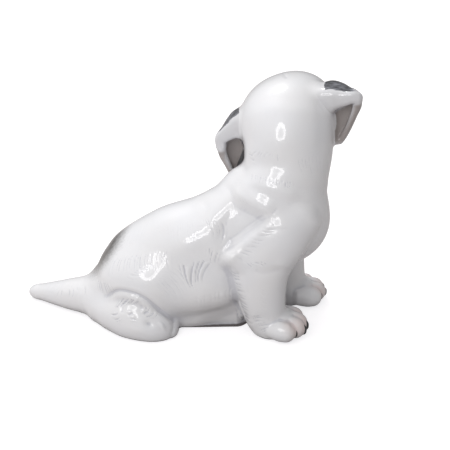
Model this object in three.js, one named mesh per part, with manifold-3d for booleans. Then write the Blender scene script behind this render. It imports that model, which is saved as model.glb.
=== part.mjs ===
// A seated puppy in glazed white porcelain, looking over its left shoulder with its head cocked.
// It is slip-cast as separate castings: a hollow torso and head, and solid ears, forelegs, hind feet
// and tail, which are trimmed to one another and joined with a film of slip before the firing.
// Millimetres. +X is the way the chest faces, +Y is the puppy's left, +Z is up, and the origin is on
// the flat foot under the belly.
import * as THREE from "three";
import { mergeVertices } from "three/addons/utils/BufferGeometryUtils.js";
import Module from "manifold-3d";

const wasm = await Module();
wasm.setup();

// Casting
const wall = 3.5; // thickness of the hollow castings
const slipFilm = 0.3; // gap at each joint, which the slip fills
const footThickness = 4; // floor of the torso above the table
const ventRadius = 3.5; // hole in the foot, which lets the hot air out in the kiln
const ventX = -18; // where the vent hole is, along the foot
const cutReach = 400; // cutting blocks reach this far, well past the figure

// Carried forms are given by rows of x, y, z, half width across the path and half depth.

// Torso: from the rump up through the shoulders into the neck, which leans to the puppy's left
const spineRows = [
  [-38, 0, 13.5, 17.5, 13],
  [-26, 0, 21.5, 22.5, 23.1],
  [-6, 0, 30, 25, 28.5],
  [15, 0, 40, 24.2, 27],
  [34, 0, 54, 23.5, 25.2],
  [45, 1, 70.5, 21.5, 21.2],
  [48, 7.5, 86.5, 19.6, 19.8],
  [48, 15, 100, 20, 19],
];
const neckRows = [
  [47, 3.5, 75, 19.6, 19],
  [48.3, 9.5, 88, 19.6, 20],
  [48.5, 15.5, 98, 20, 20],
];
const neckFlatten = 2.3;
const neckJointZ = 84; // the head casting starts here
const footRows = [
  [-39, 0, 7.5, 18, 15],
  [-7.5, 0, 7.5, 20, 15],
  [24, 0, 7.5, 17, 15],
];
const breastPlace = [46, 0, 54];
const breastHalfSizes = [24, 22, 24.5];
const rumpPlace = [-38.8, 0, 19];
const rumpHalfSizes = [9.5, 15, 13];
const napePlace = [48.4, 5.6, 90.8];
const napeHalfSizes = [18.6, 17, 20];
const haunchPlace = [-16, 12, 23.5]; // the left one: the right one is its mirror image
const haunchHalfSizes = [27, 17.2, 18.5];
const kneePlace = [8, 13, 24];
const kneeHalfSizes = [20, 14.5, 13.5];
// Fillings that round off the creases between those forms
const nuchalPlace = [47.5, 8, 98]; // between the skull and the nape
const nuchalHalfSizes = [20, 21, 16];
const throatPlace = [45, 24, 82];
const throatHalfSizes = [12, 10, 9];
const flankPlace = [2, 14, 12];
const flankHalfSizes = [18, 8.5, 10];
const tailSidePlace = [-38, 11, 19];
const tailSideHalfSizes = [8, 6, 9];
const groinPlace = [24, 9, 18];
const groinHalfSizes = [7, 5.5, 8];
// Valley behind the left shoulder, from the elbow up to the withers, in the same rows
const valleyRows = [
  [15.5, 26, 53.5, 7, 5],
  [21.1, 25.1, 59.5, 9, 6],
  [30.1, 23.1, 69, 8, 6],
];
const valleySide = [-0.57, -0.45, 0.59]; // the way across it, along the skin

// Head: its own frame has X along the nose, Y to the puppy's left and Z to the top of the skull
const skullPlace = [48, 16.5, 101.6];
const headTurn = 82; // degrees to the puppy's left
const headLift = 3; // degrees, the nose up
const headTilt = 22; // degrees, the top of the head towards the puppy's left
const craniumPlace = [3.5, 1.3, -1.2];
const craniumHalfSizes = [26.5, 24, 21.4];
const craniumFlatten = 2.15;
const foreheadPlace = [14, 0, 2];
const foreheadHalfSizes = [15, 17, 14];
const muzzleRows = [
  [12, 0, -6, 13.8, 11.6],
  [26, 0, -7.5, 10.6, 9.2],
  [34, 0, -7.5, 9, 7.8],
];
const muzzleFlatten = 2.3;
const cheekPlace = [9, 9.5, -9];
const cheekHalfSizes = [12, 11, 11];
const browPlace = [20, 7.5, 9.5];
const browHalfSizes = [5, 5.5, 3.5];
const lipPlace = [33, 4.2, -8.5];
const lipHalfSizes = [6, 4.8, 5.2];
const chinPlace = [33, 0, -14.2];
const chinHalfSizes = [5.5, 5, 3];
const nosePlace = [38, 0, -3.8];
const noseHalfSizes = [3.4, 4.9, 3.6];
const noseFlatten = 2.4;

// Ears: the sleeve behind narrows outwards, with the fold standing up in front of it. It turns down at
// its end and runs on as the rim of the flap, which is hollowed out behind.
const earRows = [
  [-1, 12, 3.5, 8, 9],
  [-1.6, 18, 3.9, 7.4, 7.8],
  [-2.2, 23, 3.8, 6.9, 6.7],
  [-3.2, 27, 3.2, 5.9, 5.4],
  [-4.4, 30.6, 2.5, 4.3, 4.1],
];
const sleeveFlatten = 2.8;
// The last two rows of the sleeve, where it turns down: this end hangs lower on the left ear
const earBends = {
  [-1]: [
    [-5.4, 34.2, 2, 3.1, 3.2],
    [-5.4, 36.6, 0.8, 2.5, 2.5],
  ],
  1: [
    [-5.4, 34.9, 1.8, 3.1, 3.2],
    [-5.4, 36.7, -2, 2.5, 2.5],
  ],
};
const earHang = { [-1]: 0, 1: 0.13 }; // how far the flap swings inwards as it hangs, per millimetre
const flapLift = { [-1]: 0, 1: 4.4 }; // the flap starts this far above the corner, inside the sleeve
const foldPlace = [2.4, 23.8, 4.9];
const foldHalfSizes = [6, 4.8, 5.3];
// Rows across the flap: inwards, forwards and down from the corner, half width and half thickness.
// The first rows of the flap and of its hollow are higher by flapLift.
const rimRows = [
  [0, 0, 0, 2.5, 2.5],
  [0.3, 0.8, 5, 2.1, 2.1],
  [1.8, 1.5, 10, 1.7, 1.8],
  [4, 1.9, 16, 1.4, 1.5],
  [6.6, 2.1, 21.5, 1.2, 1.2],
];
const flapRows = [
  [8.4, 3.5, 0, 7, 3.2],
  [6.6, 3.8, 3, 8.8, 3.4],
  [7, 3.8, 9, 7.6, 3.2],
  [7.5, 3.4, 15, 5.8, 3],
  [8.1, 3, 20.3, 4, 2.6],
  [8.5, 2.6, 23, 2.7, 2.2],
];
const cupRows = [
  [8.2, -0.6, 1.2, 6.2, 4.4],
  [6.8, -0.2, 4.4, 7.4, 4.8],
  [7.1, 0, 10, 6.2, 4.5],
  [7.6, -0.2, 15.5, 4.4, 4],
  [8.2, -0.4, 19.5, 2.6, 3.4],
];

// Forelegs
const forelegSpread = 19;
const leftForelegStep = 9.6; // how far the left foreleg stands ahead of the right one
const armJointZ = 45; // the leg castings end here
const elbowPlace = [26.3, 19, 42];
const elbowHalfSizes = [9, 8.8, 7.4];
const heelX = 42; // the middle of the wrist on the table
const heelSpread = 17;
const pawSplay = 13; // degrees, the paws turn outwards
const toeSpacing = 5.2;
const outerToeSetback = 3.4;
const outerToeBreadth = 1.08; // the outer toes are broader by this factor
// Rows along a toe: forwards from the heel, up, half width and half height
const toeRows = [
  [4, 6, 4.4, 4.8],
  [9, 5.4, 4.8, 5.2],
  [13, 4.9, 4.7, 4.8],
];
const clawForward = 17.6;
const clawHeight = 4.3;
const outerClawHalfSizes = [1.3, 1.2, 2.6];
const middleClawHalfSizes = [1.7, 1.4, 3.2];

// Hind feet: the hock behind and the foot flat on the table; the sideways places are for the left one
const hindFootRows = [
  [-45, 9.9, 6, 9, 9],
  [-37, 15.4, 7.4, 10.2, 11],
  [-28, 20.2, 8.3, 12.2, 12.9],
  [-17, 22, 5.2, 12.4, 10.6],
  [-10, 19.8, 2.4, 9.6, 6.4],
];

// Tail: thick at the root, lying on the table and drawn round to the left
const tailRows = [
  [-40, 0, 10, 12.5, 12.5],
  [-50, -1, 9, 10.3, 10.2],
  [-65, 2, 7.2, 7.9, 7.8],
  [-80.5, 8.6, 4.3, 4.5, 4.4],
];

const worldLeft = new THREE.Vector3(0, 1, 0);
const worldUp = new THREE.Vector3(0, 0, 1);
const radians = THREE.MathUtils.degToRad;
const hands = [-1, 1];

// A number from -1 to 1 raised so that a circle drawn with it becomes a superellipse.
const squared = (v, flatten) => Math.sign(v) * Math.abs(v) ** (2 / flatten);

// A closed form carried along rows of x, y, z, wide, deep: a superellipse in the plane across the
// path, its first axis along `side`, with a dome of the given length on each end. `grow` thickens it.
function loft(rows, options = {}) {
  const { side = worldLeft, domes = [8, 8], around = 24, along = 16, grow = 0, flatten = 2 } = options;
  const domeRings = 4;
  const path = new THREE.CatmullRomCurve3(
    rows.map(([x, y, z]) => new THREE.Vector3(x, y, z)),
    false,
    "catmullrom",
  );
  const sizes = new THREE.CatmullRomCurve3(
    rows.map((row) => new THREE.Vector3(row[3], row[4], 0)),
    false,
    "catmullrom",
  );
  const rings = [];
  const ring = (t, shift, scale) => {
    const tangent = path.getTangent(t);
    const across = side.clone().addScaledVector(tangent, -side.dot(tangent)).normalize();
    const normal = tangent.clone().cross(across);
    const centre = path.getPoint(t).addScaledVector(tangent, shift);
    const size = sizes.getPoint(t);
    const points = [];
    for (let j = 0; j < around; j++) {
      const angle = (2 * Math.PI * j) / around;
      const first = (size.x + grow) * scale * squared(Math.cos(angle), flatten);
      const second = (size.y + grow) * scale * squared(Math.sin(angle), flatten);
      points.push(centre.clone().addScaledVector(across, first).addScaledVector(normal, second));
    }
    rings.push(points);
  };
  for (let k = 1; k < domeRings; k++) {
    const lean = (Math.PI / 2) * (1 - k / domeRings);
    ring(0, -(domes[0] + grow) * Math.sin(lean), Math.cos(lean));
  }
  for (let i = 0; i <= along; i++) ring(i / along, 0, 1);
  for (let k = domeRings - 1; k > 0; k--) {
    const lean = (Math.PI / 2) * (1 - k / domeRings);
    ring(1, (domes[1] + grow) * Math.sin(lean), Math.cos(lean));
  }
  const positions = rings.flat().flatMap((p) => p.toArray());
  const poles = [
    path.getPoint(0).addScaledVector(path.getTangent(0), -(domes[0] + grow)),
    path.getPoint(1).addScaledVector(path.getTangent(1), domes[1] + grow),
  ];
  const firstPole = rings.length * around;
  positions.push(...poles[0].toArray(), ...poles[1].toArray());
  const faces = [];
  const at = (i, j) => i * around + (j % around);
  for (let i = 0; i < rings.length - 1; i++)
    for (let j = 0; j < around; j++) {
      faces.push(at(i, j), at(i, j + 1), at(i + 1, j + 1));
      faces.push(at(i, j), at(i + 1, j + 1), at(i + 1, j));
    }
  const last = rings.length - 1;
  for (let j = 0; j < around; j++) {
    faces.push(firstPole, at(0, j + 1), at(0, j));
    faces.push(firstPole + 1, at(last, j), at(last, j + 1));
  }
  return solidOf(
    new THREE.BufferGeometry()
      .setAttribute("position", new THREE.Float32BufferAttribute(positions, 3))
      .setIndex(faces),
  );
}

// A geometry as a solid that can be joined and cut.
function solidOf(geometry) {
  const bare = geometry.clone();
  bare.deleteAttribute("normal");
  bare.deleteAttribute("uv");
  const merged = mergeVertices(bare, 1e-4);
  return new wasm.Manifold(
    new wasm.Mesh({
      numProp: 3,
      vertProperties: merged.attributes.position.array,
      triVerts: new Uint32Array(merged.index.array),
    }),
  );
}

// A rounded mass with its middle at `centre`, in the given frame. With `flatten` over 2 it is boxier
// than an ellipsoid.
function egg(centre, halfSizes, { frame = new THREE.Matrix4(), grow = 0, flatten = 2 } = {}) {
  const sphere = new THREE.SphereGeometry(1, 16, 10);
  const places = sphere.attributes.position;
  for (let i = 0; i < places.count; i++) {
    const [x, y, z] = [places.getX(i), places.getY(i), places.getZ(i)];
    places.setXYZ(i, squared(x, flatten), squared(y, flatten), squared(z, flatten));
  }
  const place = frame
    .clone()
    .multiply(new THREE.Matrix4().makeTranslation(...centre))
    .multiply(new THREE.Matrix4().makeScale(...halfSizes.map((r) => r + grow)));
  return solidOf(sphere.applyMatrix4(place));
}

const join = (solids) => solids.reduce((a, b) => a.add(b));
const mirrored = ([x, y, z], hand) => [x, hand * y, z];

// A block that reaches from `low` to `high`, which cuts a form flat.
function slab(low, high) {
  const box = new THREE.BoxGeometry(cutReach, cutReach, high - low);
  return solidOf(box.translate(0, 0, (low + high) / 2));
}

const above = (z) => slab(z, z + cutReach);
const below = (z) => slab(z - cutReach, z);

// Torso
function neckForms(grow) {
  return [
    loft(spineRows, { domes: [9, 6], around: 26, along: 20, grow }),
    loft(neckRows, { domes: [6, 8], around: 22, along: 5, grow, flatten: neckFlatten }),
    egg(napePlace, napeHalfSizes, { grow }),
    egg(nuchalPlace, nuchalHalfSizes, { grow }),
    egg(throatPlace, throatHalfSizes, { grow }),
  ];
}

function torsoForm(grow = 0) {
  const forms = [
    ...neckForms(grow),
    loft(footRows, { domes: [6, 9], around: 18, along: 6, grow }),
    egg(breastPlace, breastHalfSizes, { grow }),
    egg(rumpPlace, rumpHalfSizes, { grow }),
  ];
  for (const hand of hands) {
    forms.push(egg(mirrored(haunchPlace, hand), haunchHalfSizes, { grow }));
    forms.push(egg(mirrored(kneePlace, hand), kneeHalfSizes, { grow }));
    if (grow < 0) continue; // the fillings thicken the wall and leave the hollow as it is
    forms.push(egg(mirrored(flankPlace, hand), flankHalfSizes, { grow }));
    forms.push(egg(mirrored(tailSidePlace, hand), tailSideHalfSizes, { grow }));
    forms.push(egg(mirrored(groinPlace, hand), groinHalfSizes, { grow }));
  }
  return join(forms);
}

function shoulderValleys(grow = 0) {
  const valleys = hands.map((hand) => {
    const rows = valleyRows.map(([x, y, ...rest]) => [x, hand * y, ...rest]);
    const side = new THREE.Vector3(...mirrored(valleySide, hand));
    return loft(rows, { side, domes: [5, 5], around: 16, along: 6, grow });
  });
  return join(valleys);
}

function torsoCasting() {
  const hollow = torsoForm(-wall).intersect(above(footThickness)).subtract(shoulderValleys(wall));
  const vent = solidOf(
    new THREE.CylinderGeometry(ventRadius, ventRadius, 4 * footThickness, 20)
      .rotateX(Math.PI / 2)
      .translate(ventX, 0, footThickness),
  );
  const arms = [legForm(-1, 0), legForm(1, leftForelegStep)].map((leg) => leg.intersect(above(armJointZ)));
  const modelled = join([torsoForm(), ...arms]).subtract(shoulderValleys());
  return modelled.intersect(slab(0, neckJointZ)).subtract(hollow).subtract(vent);
}

// Head
const headFrame = new THREE.Matrix4()
  .makeTranslation(...skullPlace)
  .multiply(new THREE.Matrix4().makeRotationZ(radians(headTurn)))
  .multiply(new THREE.Matrix4().makeRotationY(radians(-headLift)))
  .multiply(new THREE.Matrix4().makeRotationX(radians(-headTilt)));

const headPoint = (x, y, z) => new THREE.Vector3(x, y, z).applyMatrix4(headFrame);
const headWay = (x, y, z) => new THREE.Vector3(x, y, z).transformDirection(headFrame);
const headRow = ([x, y, z, wide, deep]) => [...headPoint(x, y, z).toArray(), wide, deep];

const cranium = (grow = 0) =>
  egg(craniumPlace, craniumHalfSizes, { frame: headFrame, flatten: craniumFlatten, grow });

function headForm(grow = 0) {
  const frame = headFrame;
  const side = headWay(0, 1, 0);
  const muzzle = { side, domes: [6, 4.4], around: 20, along: 8, grow, flatten: muzzleFlatten };
  const forms = [
    ...neckForms(grow),
    cranium(grow),
    egg(foreheadPlace, foreheadHalfSizes, { frame, grow }),
    loft(muzzleRows.map(headRow), muzzle),
    egg(chinPlace, chinHalfSizes, { frame, grow }),
    egg(nosePlace, noseHalfSizes, { frame, grow, flatten: noseFlatten }),
  ];
  for (const hand of hands) {
    forms.push(egg(mirrored(cheekPlace, hand), cheekHalfSizes, { frame, grow }));
    forms.push(egg(mirrored(browPlace, hand), browHalfSizes, { frame, grow }));
    forms.push(egg(mirrored(lipPlace, hand), lipHalfSizes, { frame, grow }));
  }
  return join(forms).intersect(above(neckJointZ + slipFilm - grow));
}

function headCasting() {
  return headForm().subtract(join([...neckForms(-wall), cranium(-wall)]));
}

// Ears
function earCasting(hand) {
  const rows = [...earRows, ...earBends[hand]];
  const sleeveRows = rows.map(([x, y, ...rest]) => headRow([x, hand * y, ...rest]));
  const [cornerX, cornerY, cornerZ] = rows.at(-1);
  const corner = headPoint(cornerX, hand * cornerY, cornerZ);
  const inwards = new THREE.Vector3(hand, -0.06 * hand, 0);
  const forwards = new THREE.Vector3(0.06, 1, 0);
  const hung = ([inner, front, down, wide, deep]) => {
    const place = corner.clone().addScaledVector(inwards, inner + earHang[hand] * down);
    return [...place.addScaledVector(forwards, front).addScaledVector(worldUp, -down).toArray(), wide, deep];
  };
  const sleeve = { side: headWay(1, 0, 0), domes: [3, 1.8], around: 16, along: 14, flatten: sleeveFlatten };
  const lifted = ([[inner, front, down, ...size], ...others]) =>
    [[inner, front, down - flapLift[hand], ...size], ...others].map(hung);
  const flap = loft(lifted(flapRows), { side: inwards, domes: [1.5, 1.9], around: 20, along: 10 });
  const cup = loft(lifted(cupRows), { side: inwards, domes: [2, 2.5], around: 16, along: 8 });
  const form = join([
    loft(sleeveRows, sleeve),
    egg(mirrored(foldPlace, hand), foldHalfSizes, { frame: headFrame }),
    loft(rimRows.map(hung), { side: inwards, domes: [1.5, 1.6], around: 10, along: 10 }),
    flap.subtract(cup),
  ]);
  return form.subtract(headForm(slipFilm)).subtract(torsoForm(slipFilm));
}

// Forelegs: arm, forearm and a paw with four toes
function legForm(hand, step) {
  const y = hand * forelegSpread;
  const legRows = [
    [55 + step * 0.3, 14 * hand, 63, 8.2, 11],
    [45.5 + step * 0.5, 18 * hand, 52, 10, 13.6],
    [37 + step * 0.7, y, 40, 10.2, 15],
    [36 + step * 0.9, y, 27, 10.2, 13.2],
    [39 + step, y * 0.96, 10, 9.5, 10.4],
    [42.5 + step, y * 0.94, 3, 9.3, 8.8],
  ];
  const [elbowX, elbowY, elbowZ] = elbowPlace;
  const splay = radians(pawSplay);
  const forwards = new THREE.Vector3(Math.cos(splay), hand * Math.sin(splay), 0);
  const aside = new THREE.Vector3(-Math.sin(splay), hand * Math.cos(splay), 0);
  const heel = new THREE.Vector3(heelX + step, hand * heelSpread, 0);
  const onPaw = (ahead, sideways, up) =>
    heel.clone().addScaledVector(forwards, ahead).addScaledVector(aside, sideways).setZ(up).toArray();
  const pawRows = [
    [...onPaw(0, 0, 5.2), 9, 6.2],
    [...onPaw(6, 0, 5.6), 9.6, 6.4],
  ];
  const forms = [
    loft(legRows, { domes: [6, 5], around: 16, along: 12 }),
    egg([elbowX + step * 0.7, hand * elbowY, elbowZ], elbowHalfSizes),
    loft(pawRows, { domes: [5, 6], around: 16, along: 3 }),
  ];
  for (const place of [-1.5, -0.5, 0.5, 1.5]) {
    const outer = Math.abs(place) > 1;
    const back = outer ? outerToeSetback : 0;
    const breadth = outer ? outerToeBreadth : 1;
    const sideways = place * toeSpacing;
    const rows = toeRows.map(([ahead, up, wide, high]) => [
      ...onPaw(ahead - back, sideways, up),
      wide * breadth,
      high,
    ]);
    forms.push(loft(rows, { side: aside, domes: [4, 4.8], around: 12, along: 4 }));
    const claw = onPaw(clawForward - back, sideways * 1.1, clawHeight);
    forms.push(egg(claw, outer ? outerClawHalfSizes : middleClawHalfSizes));
  }
  return join(forms).intersect(above(0));
}

function forelegCasting(hand, step) {
  return legForm(hand, step).intersect(below(armJointZ - slipFilm)).subtract(torsoForm(slipFilm));
}

// Tail
const tailForm = (grow = 0) => loft(tailRows, { domes: [4, 8], around: 20, along: 14, grow });

function tailCasting() {
  return tailForm().intersect(above(0)).subtract(torsoForm(slipFilm));
}

// Hind feet: trimmed to the torso and to the root of the tail
function hindFootCasting(hand) {
  const rows = hindFootRows.map(([x, y, ...rest]) => [x, hand * y, ...rest]);
  const foot = loft(rows, { domes: [6, 5.5], around: 20, along: 12 });
  return foot.intersect(above(0)).subtract(torsoForm(slipFilm)).subtract(tailForm(slipFilm));
}

const porcelain = () => new THREE.MeshStandardMaterial({ color: 0xe8e9ec, roughness: 0.12, metalness: 0 });

// A casting as a named mesh.
function casting(name, solid) {
  const { vertProperties, triVerts, numProp } = solid.getMesh();
  const positions = new Float32Array((vertProperties.length / numProp) * 3);
  for (let i = 0; i < positions.length / 3; i++)
    positions.set(vertProperties.subarray(i * numProp, i * numProp + 3), i * 3);
  const geometry = new THREE.BufferGeometry()
    .setAttribute("position", new THREE.BufferAttribute(positions, 3))
    .setIndex(new THREE.BufferAttribute(triVerts, 1));
  geometry.computeVertexNormals();
  const mesh = new THREE.Mesh(geometry, porcelain());
  mesh.name = name;
  return mesh;
}

const figurine = new THREE.Group();
const head = new THREE.Group();
head.add(
  casting("head_casting", headCasting()),
  casting("left_ear", earCasting(1)),
  casting("right_ear", earCasting(-1)),
);
figurine.add(
  casting("torso_casting", torsoCasting()),
  head,
  casting("right_foreleg", forelegCasting(-1, 0)),
  casting("left_foreleg", forelegCasting(1, leftForelegStep)),
  casting("right_hind_foot", hindFootCasting(-1)),
  casting("left_hind_foot", hindFootCasting(1)),
  casting("tail", tailCasting()),
);

export default figurine;
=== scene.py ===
"""A seated puppy in white glazed porcelain, looking away over its left shoulder.

Metres, in the frame of the CAD part: +X is the way the chest faces, +Y is the puppy's left, +Z is up.
The castings are carried surfaces, luted into one skin of clay, modelled with hair, painted under a
clear glaze, and parted again along the joints between the castings.
"""

import math

import bmesh
import bpy
import numpy as np
import openvdb
from mathutils import Matrix


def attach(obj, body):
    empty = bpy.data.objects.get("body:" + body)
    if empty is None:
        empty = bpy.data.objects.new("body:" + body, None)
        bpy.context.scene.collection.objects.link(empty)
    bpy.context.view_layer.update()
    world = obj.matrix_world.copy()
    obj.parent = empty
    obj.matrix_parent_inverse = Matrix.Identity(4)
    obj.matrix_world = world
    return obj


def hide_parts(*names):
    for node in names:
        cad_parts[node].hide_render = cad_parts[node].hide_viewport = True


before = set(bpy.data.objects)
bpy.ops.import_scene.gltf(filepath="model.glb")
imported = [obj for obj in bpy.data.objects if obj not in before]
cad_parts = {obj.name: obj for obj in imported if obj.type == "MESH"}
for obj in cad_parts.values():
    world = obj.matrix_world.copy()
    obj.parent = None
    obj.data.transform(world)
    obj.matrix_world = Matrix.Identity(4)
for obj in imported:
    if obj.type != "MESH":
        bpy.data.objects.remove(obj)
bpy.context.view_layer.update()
MM = 0.001

# The view
# The photograph looks down on the puppy's right side from 24 degrees above the table, with a long
# lens. The aim is a point inside the trunk.
AZIMUTH = math.radians(4.0)
ELEVATION = math.radians(24.0)
AIM = np.array((17.5, 0.0, 49.9)) * MM
DISTANCE = 520 * MM
SENSOR = 36.0
FOCAL = 83.2
PICTURE = 450  # the picture's width in pixels

to_right = np.array((math.cos(AZIMUTH), math.sin(AZIMUTH), 0.0))
ahead = np.array(
    (
        -math.sin(AZIMUTH) * math.cos(ELEVATION),
        math.cos(AZIMUTH) * math.cos(ELEVATION),
        -math.sin(ELEVATION),
    )
)
to_top = np.cross(to_right, ahead)
eye_point = AIM - DISTANCE * ahead


def posed(right, top, back, place):
    """The matrix of a camera or lamp at `place`, with its right side, its top and its back."""
    return Matrix([[v[i] for v in (right, top, back, place)] for i in range(3)] + [[0, 0, 0, 1]])


def unit(v):
    """Each vector of `v`, made 1 long."""
    return v / np.linalg.norm(v, axis=-1, keepdims=True)


camera_data = bpy.data.cameras.new("camera")
camera_data.lens = FOCAL
camera_data.sensor_width = SENSOR
camera_data.clip_start = 0.01
camera = bpy.data.objects.new("camera", camera_data)
bpy.context.scene.collection.objects.link(camera)
camera.matrix_world = posed(to_right, to_top, -ahead, eye_point)
bpy.context.scene.camera = camera

# Torso
# A hollow casting: rump, haunches, belly, chest, shoulders and lower neck. It is laid out as surfaces
# carried along the spine, with rounded masses for the haunches, the knees and the breast.


def spline(points, t):
    """Uniform Catmull-Rom curve through the rows of `points`, at parameters t from 0 to 1: on each
    span, half of (2b + (c - a)u + (2a - 5b + 4c - d)u^2 + (3b - a - 3c + d)u^3), where a to d are the
    four nearest rows, and the rows past the ends are the end rows mirrored."""
    points = np.asarray(points, float)
    padded = np.vstack((2 * points[0] - points[1], points, 2 * points[-1] - points[-2]))
    place = np.asarray(t, float) * (len(points) - 1)
    span = np.clip(np.floor(place).astype(int), 0, len(points) - 2)
    u = (place - span)[:, None]
    a, b, c, d = (padded[span + k] for k in range(4))
    return 0.5 * (2 * b + (c - a) * u + (2 * a - 5 * b + 4 * c - d) * u**2 + (3 * b - a - 3 * c + d) * u**3)


def bent(wave, flatten):
    """A sine or cosine, bent so that the ellipse it draws is squarer where `flatten` is over 2."""
    return np.sign(wave) * np.abs(wave) ** (2.0 / flatten)


def carried(stations, side=(0, 1, 0), domes=(8, 8), around=72, along=120, flatten=2.0):
    """A closed skin carried along `stations`, rows of (x, y, z, wide, deep) in millimetres. At each
    step it is a superellipse in the plane across the path, its wide axis along `side`. Each end closes
    in a half ellipsoid of the given length. Returns points in metres and triangles."""
    rows = np.asarray(stations, float)
    dome = np.linspace(0, math.pi / 2, 18)[:-1]
    t = np.concatenate((np.zeros(len(dome)), np.linspace(0, 1, along), np.ones(len(dome))))
    shift = np.concatenate((-domes[0] * np.cos(dome), np.zeros(along), domes[1] * np.sin(dome)))
    scale = np.concatenate((np.sin(dome), np.ones(along), np.cos(dome)))
    scale = np.maximum(scale, 1e-3)
    path = spline(rows[:, :3], t)
    size = spline(rows[:, 3:5], t)
    step = 1e-4
    slope = spline(rows[:, :3], np.minimum(t + step, 1)) - spline(rows[:, :3], np.maximum(t - step, 0))
    slope = unit(slope)
    across = unit(side - (slope @ side)[:, None] * slope)
    normal = np.cross(slope, across)
    angle = np.linspace(0, 2 * math.pi, around, endpoint=False)
    centre = path + slope * shift[:, None]
    reach = size * scale[:, None]
    skin = (
        centre[:, None]
        + across[:, None] * (reach[:, 0, None] * bent(np.cos(angle), flatten))[..., None]
        + normal[:, None] * (reach[:, 1, None] * bent(np.sin(angle), flatten))[..., None]
    )
    return closed_grid(skin * MM)


def closed_grid(skin):
    """Points and triangles of a grid of rings that closes round, with a fan at each end."""
    rings, around = skin.shape[:2]
    first = rings * around
    last = first - around
    j = np.arange(around)
    k = (j + 1) % around
    row = around * np.arange(rings - 1)[:, None]
    quads = np.stack((row + j, row + k, row + around + k, row + around + j), -1).reshape(-1, 4)
    hub = np.full(around, first)
    caps = np.vstack((np.stack((hub, k, j), -1), np.stack((hub + 1, last + j, last + k), -1)))
    points = np.vstack((skin.reshape(-1, 3), skin[0].mean(0), skin[-1].mean(0)))
    return points, np.vstack((quads[:, (0, 1, 2)], quads[:, (0, 2, 3)], caps))


def mass(centre, half_sizes, turn=None, flatten=2.0):
    """A rounded mass with its middle at `centre` and the given half sizes in millimetres, turned about
    its middle by the matrix `turn`. It is an ellipsoid, or squarer where `flatten` is over 2."""
    latitude = np.linspace(-math.pi / 2, math.pi / 2, 50)[1:-1, None]
    longitude = np.linspace(0, 2 * math.pi, 72, endpoint=False)[None]
    out = bent(np.cos(latitude), flatten)
    x = out * bent(np.cos(longitude), flatten)
    y = out * bent(np.sin(longitude), flatten)
    z = bent(np.sin(latitude), flatten)
    shape = np.stack(np.broadcast_arrays(x, y, z), -1) * half_sizes
    if turn is not None:
        shape = shape @ turn.T
    return closed_grid((shape + centre) * MM)


# The clay volume holds, at points GRAIN apart, the distance to the nearest surface, negative inside,
# up to REACH grains away.
GRAIN = 0.54 * MM
REACH = 15
FAR = REACH * GRAIN
lattice = openvdb.createLinearTransform(voxelSize=GRAIN)


class Clay:
    """A block of the volume, to which surfaces are added with a soft fillet at each join."""

    def __init__(self, low, high):
        self.start = np.floor(np.asarray(low) * MM / GRAIN).astype(int)
        self.shape = np.ceil(np.asarray(high) * MM / GRAIN).astype(int) - self.start
        self.field = np.full(self.shape, FAR, np.float32)

    def window(self, low, high):
        """The first and last lattice places that a form between `low` and `high` can reach."""
        a = np.maximum(np.floor(low / GRAIN).astype(int) - REACH - 1, self.start)
        b = np.minimum(np.ceil(high / GRAIN).astype(int) + REACH + 2, self.start + self.shape)
        return a, b

    def distances(self, form):
        """The distances from a closed form on the lattice places near it, and the slices of those."""
        points, faces = form
        a, b = self.window(points.min(0), points.max(0))
        grid = openvdb.FloatGrid.createLevelSetFromPolygons(
            np.ascontiguousarray(points, np.float32),
            triangles=np.ascontiguousarray(faces, np.uint32),
            transform=lattice,
            halfWidth=REACH,
        )
        block = np.empty(b - a, np.float32)
        grid.copyToArray(block, ijk=tuple(int(v) for v in a))
        return block, self.part(a, b)

    def part(self, a, b):
        """The slices of this block from lattice place `a` to `b`."""
        return tuple(slice(*v) for v in zip(a - self.start, b - self.start))

    def add(self, form, soft=3.0):
        block, where = self.distances(form)
        self.field[where] = melt(self.field[where], block, soft * MM)

    def carve(self, form, soft=1.0):
        block, where = self.distances(form)
        self.field[where] = -melt(-self.field[where], block, soft * MM)

    def join(self, other, soft):
        a = np.maximum(self.start, other.start)
        b = np.minimum(self.start + self.shape, other.start + other.shape)
        where = self.part(a, b)
        self.field[where] = melt(self.field[where], other.field[other.part(a, b)], soft * MM)

    def read(self, points):
        """The distance at each of `points`, blended between the eight nearest lattice points."""
        place = points / GRAIN - self.start
        base = np.clip(np.floor(place).astype(int), 0, self.shape - 2)
        rest = np.clip(place - base, 0, 1)
        total = np.zeros(len(points))
        for corner in np.ndindex(2, 2, 2):
            share = np.prod(np.where(corner, rest, 1 - rest), axis=1)
            total += share * self.field[tuple((base + corner).T)]
        outside = ((place < 0) | (place > self.shape - 1)).any(1)
        return np.where(outside, FAR, total)


def melt(a, b, soft):
    """Soft union of two distances: the smaller of the two, less (soft - gap)^2 / (4 soft) where they
    are within `soft` of each other, which leaves a round fillet in the crease."""
    if soft <= 0:
        return np.minimum(a, b)
    gap = np.maximum(soft - np.abs(a - b), 0)
    return np.minimum(a, b) - gap * gap / (4 * soft)


def ease(x):
    """Smooth step: 3x^2 - 2x^3 between 0 and 1."""
    x = np.clip(x, 0, 1)
    return x * x * (3 - 2 * x)


SPINE = [
    (-38, 0, 13.5, 17.5, 13),
    (-26, 0, 22.1, 22.5, 23.6),
    (-6, 0, 30, 25, 28.5),
    (15, 0, 40, 24.2, 27),
    (34, 0, 54, 23.5, 25.2),
    (45, 1, 70.5, 21.5, 21.2),
    (48, 7.5, 86.5, 19.6, 19.8),
    (48, 15, 100, 20, 19),
]
BOX_LOW = (-98, -50, -12)
BOX_HIGH = (98, 74, 142)

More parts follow.
